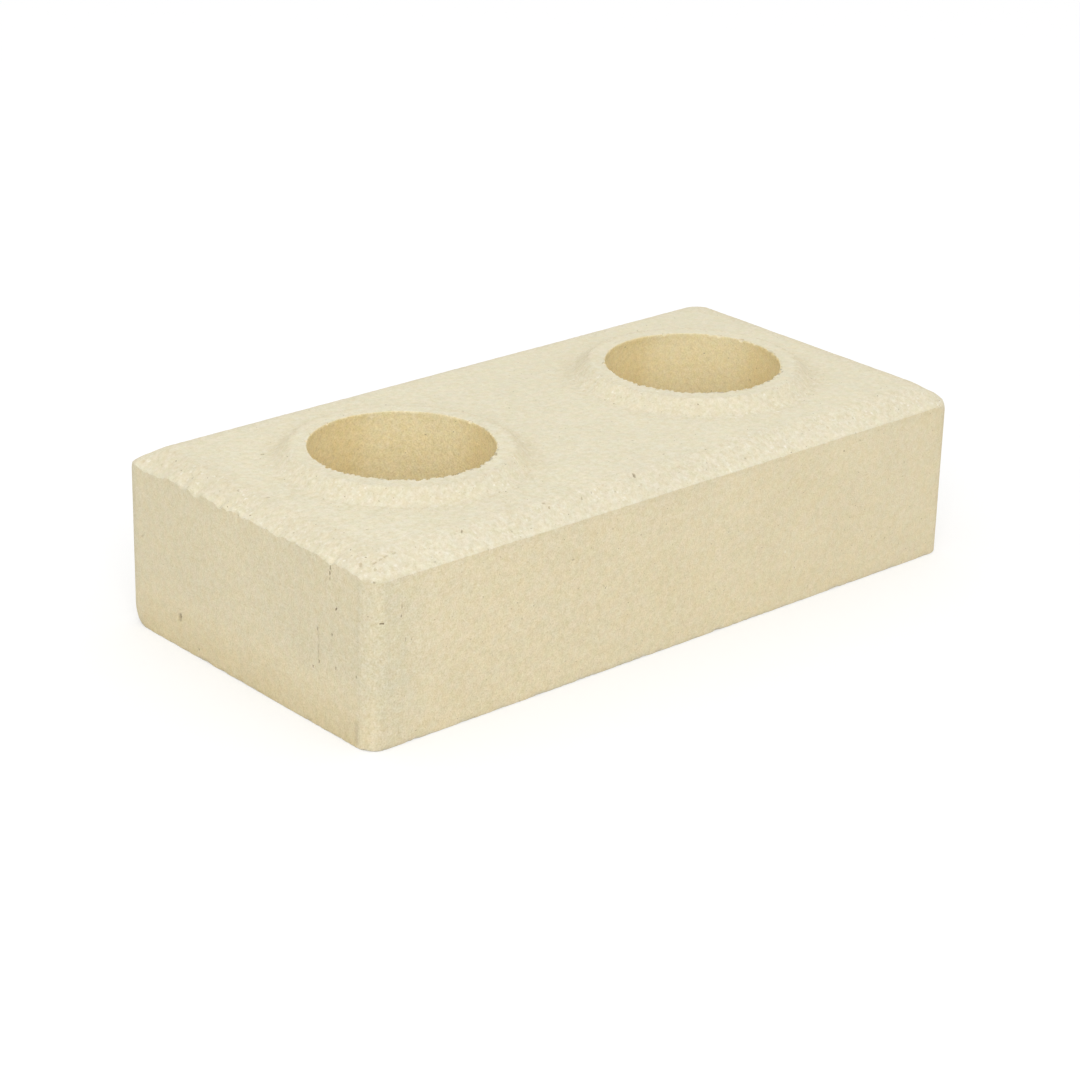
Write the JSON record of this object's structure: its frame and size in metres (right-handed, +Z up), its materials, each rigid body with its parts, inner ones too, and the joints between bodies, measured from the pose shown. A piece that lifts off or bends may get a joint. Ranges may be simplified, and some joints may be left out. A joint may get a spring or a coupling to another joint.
{
  "type": "clay brick",
  "caption": "Cream fired-clay brick with round through bores, a raised ring round each bore on its bevelled bed face and matching sockets underneath.",
  "frame": {"origin": "middle of the underside, in the plane that the brick rests on", "axes": "+X along the brick's length, +Y across its width, +Z up out of the bed face that carries the rings"},
  "size_m": [0.23, 0.115, 0.0593],
  "materials": {
    "clay": "matt, fine sandy grain"
  },
  "bodies": {
    "root": {"brick": "clay"}
  },
  "joints": []
}
